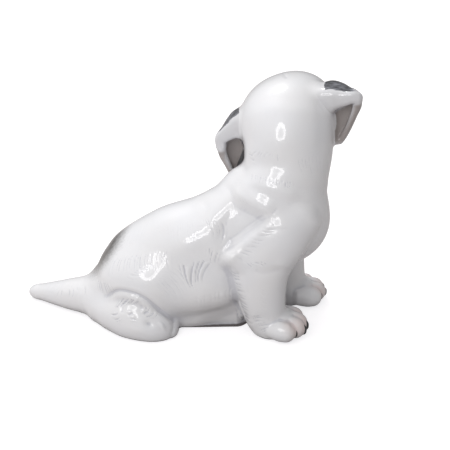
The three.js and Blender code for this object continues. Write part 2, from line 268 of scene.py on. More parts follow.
torso = Clay(BOX_LOW, (98, 52, 128))
torso.add(carried(SPINE, domes=(9, 6)))
FLAT_FOOT = [(-39, 0, 7.5, 18, 15), (-7.5, 0, 7.5, 20, 15), (24, 0, 7.5, 17, 15)]
torso.add(carried(FLAT_FOOT, domes=(6, 9)), soft=5)
torso.add(mass((45.6, 0, 55.2), (24, 22, 23.6)), soft=7)  # breast
torso.add(mass((-38.8, 0, 19), (9.5, 15, 13)), soft=6)  # rump
NECK = [(47, 3.5, 75, 19.6, 19), (48.3, 9.5, 88, 19.6, 20), (48.5, 15.5, 98, 20, 20)]
torso.add(carried(NECK, domes=(6, 8), flatten=2.3), soft=5)
torso.add(mass((48.4, 5.6, 90.8), (18.6, 17, 20)), soft=6)  # nape
for hand in (-1, 1):
    torso.add(mass((-16, hand * 12, 23.5), (27, 17.2, 18.5)), soft=5)  # haunch
    torso.add(mass((8, hand * 13, 24), (20, 14.5, 13.5)), soft=7)  # knee
torso.add(mass((28, 3, 68), (12, 13, 12)), soft=5)  # withers

# Head
# A hollow casting with the muzzle, turned to the puppy's left and cocked. The neck leans that way, so
# that its nape slopes away from the camera.
SKULL = np.array((48.0, 16.5, 101.6))
turned = Matrix.Rotation(math.radians(82), 3, "Z")
lifted = Matrix.Rotation(math.radians(-3), 3, "Y")
cocked = Matrix.Rotation(math.radians(-22), 3, "X")
HEAD = np.array(turned @ lifted @ cocked)
# On the head, along the nose, to the puppy's left and up
EYE = (20.3, 9.0, 3.7)
NOSE = (38, 0, -3.8)
EYE_BALL = (4.4, 4.2, 4.1)  # its half sizes


def on_head(x, y, z):
    """A point given along the nose, to the puppy's left and up from the middle of the skull."""
    return SKULL + HEAD @ np.array((x, y, z), float)


def head_row(x, y, z, wide, deep):
    """A row for `carried`, with its place given on the head."""
    return (*on_head(x, y, z), wide, deep)


head = Clay((10, -34, 60), (98, 74, 142))
head.add(mass(on_head(3.5, 1.3, -1.2), (26.5, 24.5, 21.6), turn=HEAD, flatten=2.15), soft=0)  # skull
head.add(mass(on_head(14, 0, 2), (15, 17, 14), turn=HEAD), soft=4)  # forehead
head.add(
    carried(
        [
            head_row(12, 0, -6, 13.8, 11.6),
            head_row(26, 0, -7.5, 10.6, 9.2),
            head_row(34, 0, -7.5, 9.0, 7.8),
        ],
        side=HEAD @ (0, 1, 0),
        domes=(6, 4.4),
        flatten=2.3,
    ),
    soft=5,
)
for hand in (-1, 1):
    head.add(mass(on_head(9, hand * 9.5, -9), (12, 11, 11)), soft=5)  # cheek
    head.add(mass(on_head(20, hand * 7.5, 9.5), (5, 5.5, 3.5), turn=HEAD), soft=3)  # brow
    head.carve(mass(on_head(25.5, hand * 10.5, 4), (4.3, 4.4, 3.9), turn=HEAD), soft=3.2)  # eye socket
    head.add(mass(on_head(EYE[0], hand * EYE[1], EYE[2]), EYE_BALL), soft=0.6)
    head.add(mass(on_head(32.5, hand * 4.6, -8.8), (6.2, 5.4, 5.6)), soft=1.6)  # flew
head.add(mass(on_head(33, 0, -14.2), (5.5, 5, 3)), soft=1.5)  # chin
head.add(mass(on_head(*NOSE), (3.4, 4.9, 3.6), turn=HEAD, flatten=2.4), soft=0.6)
for hand in (-1, 1):
    head.carve(mass(on_head(41, hand * 2.5, -4.2), (1.8, 1.1, 1.1)), soft=0.4)  # nostril

# Ears
# Solid castings, set on the sides of the skull. The back of each ear is a smooth sleeve that narrows
# outwards, with the fold standing up in front of it. It turns down at the end and runs on as the rim
# of the flap, which hangs below and is hollowed out behind.
# For the right ear, -1, and the left ear, 1: how far out and up on the head the sleeve bends and the
# corner of the fold is, how the flap leans inwards, how far its top is raised and how wide that is,
# and how far the sleeve is raised
EAR_END = {-1: ((34.2, 2.0), (36.6, 0.8)), 1: ((34.9, 1.8), (36.7, -2.0))}
LEAN = {-1: 0.0, 1: 0.13}
FLAP_LIFT = {-1: 0.0, 1: 4.4}
TOP_WIDE = {-1: 5.6, 1: 6.8}
SLEEVE_LIFT = {-1: 0.0, 1: 1.0}
EAR_LOW, EAR_HIGH = (0, -20, 62), (98, 52, 142)
front = np.array((0.06, 1.0, 0.0))
drop = np.array((0.0, 0.0, -1.0))
ears = []
hollows = []
sleeves = []
for hand in (-1, 1):
    ear = Clay(EAR_LOW, EAR_HIGH)
    (bend, bend_z), (tip, tip_z) = EAR_END[hand]
    corner = on_head(-5.4, hand * tip, tip_z)
    inward = np.array((1.0, -0.06, 0.0)) * hand

    def hung(inner, ahead_of, down, wide, deep):
        """A row given inwards, forwards and down from the folded corner of the ear."""
        place = corner + (inner + LEAN[hand] * down) * inward + ahead_of * front + down * drop
        return (*place, wide, deep)

    flap = [
        hung(8.8, 3.0, -FLAP_LIFT[hand], TOP_WIDE[hand], 3.0),
        hung(6.6, 3.8, 3, 8.8, 3.4),
        hung(7.0, 3.8, 9, 7.6, 3.2),
        hung(7.5, 3.4, 15, 5.8, 3),
        hung(8.1, 3, 20.3, 4.0, 2.6),
        hung(8.5, 2.6, 23.0, 2.7, 2.2),
    ]
    ear.add(carried(flap, side=inward, domes=(1.5, 1.9), along=80), soft=0)
    cup = [
        hung(8.2, -0.6, 1.2 - FLAP_LIFT[hand], 6.2, 4.4),
        hung(6.8, -0.2, 4.4, 7.4, 4.8),
        hung(7.1, 0.0, 10, 6.2, 4.5),
        hung(7.6, -0.2, 15.5, 4.4, 4.0),
        hung(8.2, -0.4, 19.5, 2.6, 3.4),
    ]
    scoop = carried(cup, side=inward, domes=(2, 2.5), along=80)
    ear.carve(scoop, soft=2.4)
    hollow = Clay(EAR_LOW, EAR_HIGH)
    hollow.add(scoop, soft=0)
    hollows.append(hollow)
    rim = [
        hung(0, 0, 0, 2.5, 2.5),
        hung(0.3, 0.8, 5, 2.1, 2.1),
        hung(1.8, 1.5, 10, 1.7, 1.8),
        hung(4.0, 1.9, 16, 1.4, 1.5),
        hung(6.6, 2.1, 21.5, 1.2, 1.2),
    ]
    ear.add(carried(rim, side=inward, domes=(1.5, 1.6), along=60), soft=1.2)
    lift = SLEEVE_LIFT[hand]
    sleeve = [
        head_row(-1, hand * 12, 3.5, 8, 9),
        head_row(-1.6, hand * 18, 3.9 + 0.5 * lift, 7.4, 7.8),
        head_row(-2.2, hand * 23, 3.8 + lift, 6.9, 6.7),
        head_row(-3.2, hand * 27, 3.2 + lift, 5.9, 5.4),
        head_row(-4.4, hand * 30.6, 2.5 + lift, 4.3, 4.1),
        head_row(-5.4, hand * bend, bend_z, 3.1, 3.2),
        head_row(-5.4, hand * tip, tip_z, 2.5, 2.5),
    ]
    tube = carried(sleeve, side=HEAD @ (1, 0, 0), domes=(3, 1.8), flatten=2.8)
    ear.add(tube, soft=1.0)
    outer = Clay(EAR_LOW, EAR_HIGH)
    outer.add(tube, soft=0)
    sleeves.append(outer)
    fold_over = [
        head_row(2.6, hand * 20.5, 4.8, 5.4, 4.4),
        head_row(2.5, hand * 24, 5.7 + lift, 5.6, 4.8),
        head_row(1.4, hand * 28, 4.5 + lift, 4.6, 4.2),
        head_row(-0.4, hand * 31.5, 3.0 + lift, 3.2, 3.2),
    ]
    ear.add(carried(fold_over, side=HEAD @ (1, 0, 0), domes=(3, 2.5)), soft=2.0)
    ears.append(ear)

# Forelegs
# Solid castings from the elbow down, with the upper arm modelled on the torso above them.
UP = np.array((0, 0, 1))
STEP_AHEAD = 9.6  # of the left leg
SPLAY = math.radians(13)  # of both paws, outwards
legs = []
claws = []
for hand, step in ((-1, 0), (1, STEP_AHEAD)):
    y = 19 * hand
    leg = Clay((8, y - 26, -12), (86, y + 26, 80))
    bone = [
        (55 + 0.3 * step, 14 * hand, 63, 8.2, 11),
        (45.5 + 0.5 * step, 18 * hand, 52, 10, 13.6),
        (37 + 0.7 * step, y, 40, 10.2, 15),
        (36 + 0.9 * step, y, 27, 10.2, 13.2),
        (39 + step, 0.96 * y, 10, 9.5, 10.4),
        (42.5 + step, 0.94 * y, 3, 9.3, 8.8),
    ]
    leg.add(carried(bone, domes=(6, 5)), soft=0)
    leg.add(mass((26.3 + 0.7 * step, y, 42), (9, 8.8, 7.4)), soft=3)
    heel = np.array((42 + step, 17 * hand, 0))
    forward = np.array((math.cos(SPLAY), hand * math.sin(SPLAY), 0))
    aside = np.array((-math.sin(SPLAY), hand * math.cos(SPLAY), 0))
    paw = [(*(heel + 5.2 * UP), 9.2, 6.4), (*(heel + 6.6 * forward + 5.8 * UP), 10.4, 6.6)]
    leg.add(carried(paw, domes=(5, 6)), soft=3)
    for place in (-7.8, -2.6, 2.6, 7.8):
        outer = abs(place) > 5
        back = 3.4 if outer else 0
        broad = 1.08 if outer else 1
        row = heel + place * aside
        toe = [
            (*(row + (5 - back) * forward + 5.6 * UP), 4.2, 4.6),
            (*(row + (10 - back) * forward + 5.4 * UP), 5.0 * broad, 5.5),
            (*(row + (12.8 - back) * forward + 5.2 * UP), 5.0 * broad, 5.2),
        ]
        leg.add(carried(toe, side=aside, domes=(3, 5.0)), soft=0.7)
        claw = row + (17.3 - back) * forward + 4.6 * UP - 0.1 * place * aside
        nail = (1.2, 1.0, 2.2) if outer else (1.5, 1.2, 2.7)
        claws.append((claw, nail))
        leg.add(mass(claw, nail), soft=0.4)
    legs.append(leg)

# Hind feet
# Solid castings, one on each side of the belly: the hock behind and the foot flat on the table.
hind_feet = []
for hand in (-1, 1):
    y = 22 * hand
    foot = Clay((-66, y - 28, -12), (20, y + 28, 42))
    bone = [
        (-43.5, 0.45 * y, 6.4, 8.4, 8.6),
        (-37, 0.7 * y, 7.4, 10.2, 11),
        (-28, 0.92 * y, 8.3, 12.2, 12.9),
        (-17, y, 5.2, 12.4, 10.6),
        (-10, 0.9 * y, 2.4, 9.6, 6.4),
    ]
    foot.add(carried(bone, domes=(6, 5.5)), soft=0)
    hind_feet.append(foot)

# Tail
# A solid casting, thick at the root, lying on the table and drawn round to the left.
tail = Clay((-100, -24, -12), (-26, 34, 34))
tail.add(
    carried(
        [
            (-40, -2, 10.3, 14.0, 12.8),
            (-50, -1.8, 9.2, 11.3, 10.6),
            (-65, 2, 7.2, 7.9, 7.8),
            (-80.5, 8.6, 4.3, 4.5, 4.4),
        ],
        domes=(4, 8),
    ),
    soft=0,
)

# Luting
# The castings are joined with slip and sponged, which leaves a soft fillet along each joint, and the
# whole figure is rubbed flat where it stands.
whole = Clay(BOX_LOW, BOX_HIGH)
FILLETS = (([torso], 0), ([head], 4.0), (ears, 3.0), (legs, 2.5), (hind_feet, 3.2), ([tail], 8.0))
for group, fillet in FILLETS:
    for form in group:
        whole.join(form, fillet)
VENT = [(-18, 0, -4, 3.5, 3.5), (-18, 0, 2, 3.5, 3.5), (-18, 0, 8, 3.5, 3.5)]
whole.carve(carried(VENT, domes=(1, 1)), soft=0.4)
heights = (np.arange(whole.shape[2]) + whole.start[2]) * GRAIN
heights = np.broadcast_to(heights, whole.field.shape).astype(np.float32)
whole.field = -melt(-whole.field, heights, 0.8 * MM)

grid = openvdb.FloatGrid(FAR)
grid.transform = lattice
grid.copyFromArray(whole.field, ijk=tuple(int(v) for v in whole.start))
points, quads = grid.convertToQuads(0.0)
points = points.astype(float)
faces = np.vstack((quads[:, (0, 1, 2)], quads[:, (0, 2, 3)])).astype(np.int64)
corners = points[faces]
volume = np.einsum("ij,ij->i", corners[:, 0], np.cross(corners[:, 1], corners[:, 2])).sum() / 6
if volume < 0:
    faces = faces[:, ::-1]


def skin_normals(points, faces):
    """The mean of the normals of the faces round each point, weighted by their areas."""
    a, b, c = (points[faces[:, k]] for k in range(3))
    area = np.cross(b - a, c - a)
    total = [np.bincount(faces.ravel(), np.repeat(part, 3), len(points)) for part in area.T]
    total = np.stack(total, -1)
    return total / np.maximum(np.linalg.norm(total, axis=1), 1e-15)[:, None]


edges = np.stack((quads, np.roll(quads, -1, axis=1)), -1).reshape(-1, 2)
edges = np.unique(np.sort(edges, axis=1).astype(np.int64), axis=0)
degree = np.bincount(edges.ravel(), minlength=len(points))


def relax(values, rounds=1, share=0.5):
    """Each value moves by `share` towards the mean of its neighbours' values, `rounds` times."""
    values = np.array(values, float)
    flat = values.reshape(len(values), -1)
    one, other = edges.T
    for _ in range(rounds):
        for column in flat.T:
            total = np.bincount(one, column[other], len(flat)) + np.bincount(other, column[one], len(flat))
            column += share * (total / degree - column)
    return flat.reshape(values.shape)


sponged = relax(points, 2)
sponged[:, 2] = np.where(points[:, 2] < 0.4 * MM, points[:, 2], sponged[:, 2])
points = sponged
normals = skin_normals(points, faces)

# Modelling
# The creases and the hair are worked with a tool in the soft clay. Places are given as the camera sees
# them, across and down the picture; the other side is worked the same way, as in a mirror.


def sight(points):
    """Where points appear in the picture, across and down, in pixels."""
    away = points - eye_point
    scale = PICTURE * FOCAL / SENSOR / (away @ ahead)
    middle = PICTURE / 2
    return np.stack((middle + scale * (away @ to_right), middle - scale * (away @ to_top)), -1)


def hair(uv, root, reach, count, depth, bend=0.0, seed=0):
    """Locks of hair side by side. A lock starts on the line `root` and follows the vector `reach`,
    given at both ends of that line, bowed sideways by bend * b * (1 - b). The relief is
    depth * (|sin(pi lane)|^0.85 - 0.6), where lane is the place across the locks times `count`."""
    root, reach = np.array((root, reach), float)
    span = root[1] - root[0]
    a = b = np.full(len(uv), 0.5)
    for _ in range(5):
        way = reach[0] + (reach[1] - reach[0]) * np.clip(a, 0, 1)[:, None]
        bow = bend * (b * (1 - b))[:, None] * np.stack((-way[:, 1], way[:, 0]), -1)
        rest = uv - root[0] - np.where((abs(b) < 1.5)[:, None], bow, 0)
        area = span[0] * way[:, 1] - span[1] * way[:, 0]
        a = (rest[:, 0] * way[:, 1] - rest[:, 1] * way[:, 0]) / area
        b = (span[0] * rest[:, 1] - span[1] * rest[:, 0]) / area
    lane = a * count
    lane += 0.24 * np.sin(2.3 * lane + seed) + 0.2 * np.sin(5 * b + 1.7 * seed + 2.5 * a)
    index = np.floor(lane)
    luck = np.modf(np.abs(np.sin(index * 12.9898 + seed * 7.233) * 43758.5453))[0]
    more = np.modf(np.abs(np.sin(index * 39.425 + seed * 3.117) * 24634.6345))[0]
    start = 0.18 * luck
    end = 0.78 + 0.22 * more
    along = (b - start) / (end - start)
    body = ease(along / 0.22) * ease((1 - along) / 0.4)
    sides = ease(lane / 0.6 + 0.2) * ease((count - lane) / 0.6 + 0.2)
    inside = (lane > -0.2) & (lane < count + 0.2)
    ridge = np.abs(np.sin(math.pi * lane)) ** 0.85 - 0.6
    return np.where(inside, depth * (0.75 + 0.5 * luck) * ridge * body * sides, 0)


def fold(uv, knots, depth, wide, lip=0.0, ends=0.18):
    """A groove along the curve through `knots`: -depth exp(-(d / wide)^2), where d is the distance
    from the curve, and a swelling of height `lip` beside it, to the right of the way it runs."""
    line = spline(knots, np.linspace(0, 1, 90))
    low, high = line.min(0) - 4 * wide - 2, line.max(0) + 4 * wide + 2
    near = ((uv > low) & (uv < high)).all(1)
    out = np.zeros(len(uv))
    gap = uv[near, None] - line[None]
    far = (gap**2).sum(-1)
    nearest = far.argmin(1)
    t = nearest / (len(line) - 1)
    way = unit(np.gradient(line, axis=0))
    rows = np.arange(len(nearest))
    pick = gap[rows, nearest]
    side = way[nearest, 0] * pick[:, 1] - way[nearest, 1] * pick[:, 0]
    d = np.sqrt(far[rows, nearest]) * np.sign(side)
    fade = ease(t / ends) * ease((1 - t) / ends)
    groove = -depth * np.exp(-((d / wide) ** 2))
    out[near] = fade * (groove + lip * np.exp(-(((d - 1.9 * wide) / (1.4 * wide)) ** 2)))
    return out


def dent(uv, corners, depth):
    """A hollow inside the convex outline of `corners`, taken clockwise, each with the width over
    which the side that starts there slopes down."""
    corners = np.asarray(corners, float)
    value = np.full(len(uv), -depth)
    for k, (x, y, wide) in enumerate(corners):
        way = unit(corners[(k + 1) % len(corners), :2] - (x, y))
        inside = way[0] * (uv[:, 1] - y) - way[1] * (uv[:, 0] - x)
        value = value * ease(inside / wide + 0.15)
    return value


def swell(uv, centre, radii, angle, height):
    """A soft mound: height exp(-(x / a)^2 - (y / b)^2) in axes turned by `angle` degrees."""
    c, s = math.cos(math.radians(angle)), math.sin(math.radians(angle))
    x, y = (uv - centre).T
    return height * np.exp(-(((c * x + s * y) / radii[0]) ** 2) - ((-s * x + c * y) / radii[1]) ** 2)


def touched(uv, touches):
    """The sum of `touches`, rows of one of the tools above and what it takes, in millimetres outwards."""
    return sum(tool(uv, *takes) for tool, *takes in touches)


# The creases and hair of one side of the body
BODY_TOUCHES = [
    # the hollow behind the shoulder, between the ridges of the shoulder blade and the upper arm
    (dent, [(231, 191, 14), (275, 217, 13), (222, 259, 20), (205, 228, 26)], 2.5),
    (fold, [(276, 219), (264, 229), (252, 240), (240, 250), (228, 260)], -0.8, 5.0),
    (fold, [(230, 190), (246, 193), (260, 201), (276, 213)], -0.8, 7.0),
    (fold, [(273, 212), (280, 219), (281, 230)], -0.3, 6.0),
    # ribs, shoulder blade, elbow, forearm, breast and upper arm
    (swell, (207, 224), (20, 12), -50, 0.5),
    (swell, (248, 204), (18, 9), 32, 0.7),
    (swell, (230, 258), (6.5, 6), 0, 1.5),
    (swell, (283, 265), (6, 4.5), 0, 0.8),
    (swell, (316, 208), (15, 13), 30, 1.0),
    (swell, (283, 232), (22, 16), -40, 0.7),
    # the crease behind the foreleg, the hollow before the thigh, and the haunch
    (fold, [(248, 325), (243, 315), (238, 302), (233, 288), (228, 272), (222, 261)], 0.7, 5.0, 0.25),
    (dent, [(204, 284, 16), (230, 274, 9), (248, 320, 9), (248, 340, 9), (196, 340, 16)], 0.45),
    (fold, [(157, 222), (166, 248), (180, 282), (196, 312)], 0.3, 12),
    (swell, (150, 288), (22, 17), -30, 0.8),
    (swell, (190, 240), (20, 15), -35, 1.0),
    # shallow creases on the breast, the wrist, the ribs and the withers
    (fold, [(306, 206), (313, 222), (306, 244), (292, 258)], 0.2, 9, 0, 0.4),
    (fold, [(252, 268), (262, 273), (276, 270), (290, 260)], 0.35, 4),
    (fold, [(196, 194), (204, 203), (207, 214), (205, 226)], 0.3, 4.5, -0.1),
    (fold, [(222, 183), (231, 192), (232, 205), (222, 228), (219, 246)], 0.35, 4.0),
    # hair from the shoulder back to the rump
    (hair, [(233, 190), (262, 208)], [(4, 12), (8, 9)], 7, 0.16, 0.4, 1),
    (hair, [(268, 222), (230, 257)], [(15, 2), (16, 7)], 10, 0.15, 0.6, 2),
    (hair, [(240, 262), (262, 262)], [(6, 9), (14, 4)], 5, 0.26, -0.5, 3),
    (hair, [(199, 214), (222, 216)], [(10, 34), (-3, 40)], 6, 0.2, -0.4, 4),
    (hair, [(178, 262), (213, 257)], [(13, 27), (-9, 34)], 5, 0.8, 0.5, 5),
    (hair, [(206, 244), (222, 248)], [(0, 18), (-3, 20)], 4, 0.3, 0.3, 16),
    (hair, [(118, 254), (172, 246)], [(-10, 26), (2, 28)], 18, 0.2, 0.35, 7),
    (hair, [(146, 278), (178, 262)], [(26, 34), (26, 38)], 9, 0.1, -0.25, 8),
    (hair, [(122, 276), (142, 262)], [(16, 6), (16, -2)], 7, 0.13, 0.5, 18),
    (hair, [(166, 222), (196, 216)], [(4, 30), (8, 30)], 9, 0.08, 0.2, 9),
    (hair, [(124, 236), (152, 216)], [(-12, 24), (-6, 28)], 9, 0.08, 0.2, 19),
    (hair, [(94, 276), (112, 284)], [(4, 18), (6, 16)], 7, 0.32, -0.2, 10),
    (hair, [(188, 296), (236, 284)], [(6, 14), (2, 16)], 9, 0.14, 0.2, 20),
]

# Where the low belly is drawn in, below the fold of the thigh
TUCKED = [(176, 327, 22), (196, 316, 26), (240, 293, 26), (290, 300, 4), (290, 350, 4), (182, 350, 8)]

# The hair and hollows of one hind foot
FOOT_TOUCHES = [
    (fold, [(103, 299), (116, 291), (130, 292), (145, 298), (160, 311), (181, 326)], 0.95, 2.4, 0.5),
    (hair, [(112, 310), (136, 304)], [(8, -13), (9, -9)], 6, 0.62, 0.2, 11),
    (hair, [(108, 312), (117, 325)], [(10, -2), (9, -4)], 4, 0.5, 0.3, 12),
    (hair, [(124, 311), (130, 323)], [(11, 2), (10, 4)], 3, 0.6, -0.7, 13),
    (hair, [(138, 312), (148, 321)], [(10, -6), (9, -5)], 3, 0.5, 0.3, 14),
    (hair, [(146, 301), (162, 314)], [(-7, 7), (-6, 8)], 5, 0.25, 0.2, 15),
    (fold, [(125, 297), (123, 306), (121, 314)], 0.3, 2.5),
    (swell, (149, 324), (4.5, 3.5), 20, -0.8),
    (swell, (162, 326), (4.5, 1.8), 50, 0.7),
    (swell, (140, 330), (12, 5), 10, 0.3),
]

# The hair of one foreleg, and the tendons of its paw
LEG_TOUCHES = [
    (hair, [(229, 266), (243, 322)], [(13, 3), (13, 4)], 15, 0.3, 0.6, 21),
    (hair, [(247, 316), (262, 338)], [(16, -1), (12, -8)], 8, 0.3, -0.5, 22),
    (hair, [(256, 284), (262, 316)], [(14, 3), (12, 6)], 8, 0.08, 0.2, 23),
    (fold, [(277, 320), (284, 321), (290, 323), (295, 331)], 0.35, 1.8),
    (fold, [(250, 322), (262, 318), (272, 320)], 0.2, 3.5),
]

# The folds and hair on the nape, which only the camera's side has
NECK_TOUCHES = [
    (fold, [(234, 186), (252, 183), (268, 186), (284, 192), (302, 203)], -1.0, 8.0),
    (fold, [(236, 168), (252, 164), (270, 165), (290, 171)], 0.3, 7.5),
    (hair, [(250, 172), (293, 180)], [(1, 12), (1, 12)], 16, 0.2, 0.1, 31),
    (hair, [(254, 149), (283, 153)], [(-5, 9), (-3, 10)], 8, 0.2, 0.2, 32),
    (hair, [(296, 150), (326, 150)], [(8, 30), (0, 34)], 12, 0.1, 0.35, 33),
    (hair, [(300, 186), (328, 184)], [(6, 30), (-2, 32)], 12, 0.08, 0.35, 36),
    (hair, [(244, 144), (250, 160)], [(8, 4), (8, 6)], 4, 0.16, 0.2, 34),
    (fold, [(318, 92), (321, 110), (322, 132), (318, 158)], 0.3, 6.0),
    (fold, [(282, 71), (284, 75), (287, 79)], 0.2, 1.6),
    (swell, (284, 136), (30, 24), 0, 1.3),
    (swell, (283, 86), (16, 10), 0, 0.3),
    (swell, (316, 208), (15, 13), 30, 1.0),
]

# The hair on the tail
TAIL_TOUCHES = [
    (hair, [(56, 290), (88, 284)], [(-8, 11), (3, 14)], 7, 0.26, 0.25, 41),
    (hair, [(46, 284), (80, 278)], [(-8, 12), (-4, 13)], 7, 0.1, 0.25, 42),
]


def smooth_in(values, low, high):
    """Smooth step from 0 at `low` to 1 at `high`."""
    return ease((values - low) / (high - low))


def seen(points, normals):
    """From 0 where the skin is edge-on to the camera or turned away, to 1 where it faces it more."""
    return smooth_in(-(normals * unit(points - eye_point)).sum(1), 0.02, 0.3)


uv = sight(points)
mirror = np.array((1, -1, 1))
flipped = points * mirror
uv_flip = sight(flipped)
uv_flip_leg = sight(flipped - (STEP_AHEAD * MM, 0, 0))

# How much of each table a point takes, from 0 to 1, by its place in millimetres
x, y, z = points.T / MM
facing = seen(points, normals)
off_side = smooth_in(y, -3, 3)
near = (1 - off_side) * facing
off = off_side * seen(flipped, normals * mirror)
on_foot = 1 - smooth_in(x, 4, 10)
on_leg = smooth_in(x, 12, 16) * (1 - smooth_in(z, 46, 52))
on_neck = smooth_in(z, 70, 76)
on_tail = 1 - smooth_in(x, -50, -44)
leg_gap = np.minimum(*(leg.read(points) for leg in legs)) / MM
under_belly = (1 - smooth_in(z, 6, 20)) * smooth_in(x, -12, 4) * smooth_in(leg_gap, 0, 3.5)
push = touched(uv, BODY_TOUCHES) * near * (1 - smooth_in(z, 74, 84))
push += touched(uv_flip, BODY_TOUCHES) * off * (1 - smooth_in(z, 60, 70))
push += touched(uv, FOOT_TOUCHES) * near * on_foot
push += touched(uv_flip, FOOT_TOUCHES) * off * on_foot
push += touched(uv, LEG_TOUCHES) * near * on_leg
push += touched(uv_flip_leg, LEG_TOUCHES) * off * on_leg
push += touched(uv, NECK_TOUCHES) * facing * on_neck
push += touched(uv, TAIL_TOUCHES) * facing * on_tail
push *= smooth_in(z, 0.3, 2.0)
tuck = (dent(uv, TUCKED, 2.6) * near + dent(uv_flip, TUCKED, 2.6) * off) * under_belly
level = normals * (1, 1, 0)

# The mouth: a bow under the flews, and a cleft from its middle up to the nose
along, left, up = ((points / MM - SKULL) @ HEAD).T
bow = np.abs(up + 12.6 - 0.05 * left**2) + 9 * (np.abs(left) > 7.5)
cleft = np.abs(left) + 9 * (np.abs(up + 9.8) > 2.8)
mouth = np.exp(-((np.minimum(bow, cleft) / 0.55) ** 2)) * (along > 27)
push -= 0.45 * mouth
points = points + (normals * push[:, None] + level * tuck[:, None]) * MM
normals = skin_normals(points, faces)

# Painting
# The colours are brushed on under the glaze, and some are painted shade: in the creases, in the ears'
# hollows and on the ears past their root. Each has a measure at every point of the skin, above zero
# inside the painted shape and below zero outside it.
x, y, z = points.T / MM
in_head = (points / MM - SKULL) @ HEAD
out_head = normals @ HEAD
lateral = np.abs(in_head[:, 1])
# How hollow the skin is at each point, which darkens the creases as painted shade
cavity = ((relax(points, 6) - points) * normals).sum(1) / MM
ear_reads = [ear.read(points) for ear in ears]
on_ear = np.minimum(*ear_reads) < np.minimum(head.read(points), torso.read(points))
# Painted shade: the ears are greyed a little beyond their root, where the head shades them
ear_painted_shade = np.where(on_ear, smooth_in(lateral, 17, 24), 0.0)

# The ears are painted where they face forwards and up, and less behind, towards the corner of the fold
forwards_up = out_head @ (0.62, 0.0, 0.78) - 0.36
behind = np.maximum(lateral - 33, 0) * (out_head[:, 0] < 0.3)
on_fold = on_ear & ((in_head[:, 1] > 20.5) | (in_head[:, 1] < -22.6))
patch = np.where(on_fold, forwards_up - 0.06 * behind, -1.0)
# The hollow behind each flap: brown-grey paint, darkened further as painted shade
inside_ear = 0.0
for hollow, outer, soft in zip(hollows, sleeves, (3.8, 3.2)):
    scooped = 1 - smooth_in(np.abs(hollow.read(points)) / MM, 0.4, soft)
    inside_ear = np.maximum(inside_ear, scooped * smooth_in(outer.read(points) / MM, 0.3, 1.8))
inside_ear = np.where(on_ear & (lateral > 17), inside_ear, 0.0)

# The rump's patch is an ellipse, 21 mm up and down the back and 19 mm to each side
up_back = 0.6 * x + 0.8 * z - 2.4
rump = np.where(x < -5, 1 - np.hypot(up_back / 21, (y - 2) / 19), -1.0)


def within(places, centre, half_sizes):
    """1 at `centre`, falling to 0 on the ellipsoid with those half sizes."""
    return 1 - np.linalg.norm((places - centre) / half_sizes, axis=1)


claw_paint = eye_paint = -1.0
toes = -9.0
for centre, half_sizes in claws:
    claw_paint = np.maximum(claw_paint, 0.12 + within(points / MM, centre, half_sizes))
    toes = np.maximum(toes, within(points / MM, centre + (-2.5, 0, 1.5), (7, 5, 6)))
for hand in (-1, 1):
    ball = (in_head - (EYE[0], hand * EYE[1], EYE[2])) / EYE_BALL[0]
    eye_paint = np.maximum(eye_paint, 0.62 - np.hypot(ball[:, 1], ball[:, 2]) - 2.0 * (ball[:, 0] < 0.2))
nose_paint = 0.1 + within(in_head, NOSE, (3.8, 5.2, 3.9))

PAINT = dict(cavity=cavity, patch=patch, rump=rump, inside_ear=inside_ear, ear_painted_shade=ear_painted_shade)
PAINT.update(claw=claw_paint, toes=toes, eye=eye_paint, nose=nose_paint, mouth=mouth)

# Parting
# The skin is parted along the joints between the castings, which leaves a closed piece for each. The
# neck's and the tail's are plain cuts. The forelegs end at the elbow, and the hind feet short of the tail.
NECK_JOINT = 84 * MM  # above the table
ELBOW_JOINT = 45 * MM  # above the table
TAIL_JOINT = -49 * MM  # along the body
HOCK_END = -46.5 * MM  # along the body
columns = np.column_stack([points, normals, *PAINT.values()])


def parted(columns, faces, side):
    """Cuts the triangles where `side` is zero. Returns the points with the new ones, the faces on the
    negative side, and those on the other."""
    out = side[faces] >= 0
    count = out.sum(1)
    mixed = (count == 1) | (count == 2)
    lone_out = count[mixed] == 1
    tri = faces[mixed]
    lone = np.where(lone_out, out[mixed].argmax(1), (~out[mixed]).argmax(1))
    rows = np.arange(len(tri))
    a = tri[rows, lone]
    b = tri[rows, (lone + 1) % 3]
    c = tri[rows, (lone + 2) % 3]
    pairs = np.sort(np.vstack((np.stack((a, b), -1), np.stack((a, c), -1))), axis=1)
    unique, back = np.unique(pairs, axis=0, return_inverse=True)
    back = back.ravel()
    one, two = unique.T
    t = (side[one] / (side[one] - side[two]))[:, None]
    fresh = columns[one] * (1 - t) + columns[two] * t
    m = len(columns) + back[: len(tri)]
    n = len(columns) + back[len(tri):]
    tip = np.stack((a, m, n), -1)
    rest = np.vstack((np.stack((m, b, c), -1), np.stack((m, c, n), -1)))
    rest_out = np.tile(~lone_out, 2)
    inside = np.vstack((faces[count == 0], tip[~lone_out], rest[~rest_out]))
    outside = np.vstack((faces[count == 3], tip[lone_out], rest[rest_out]))
    return np.vstack((columns, fresh)), inside, outside


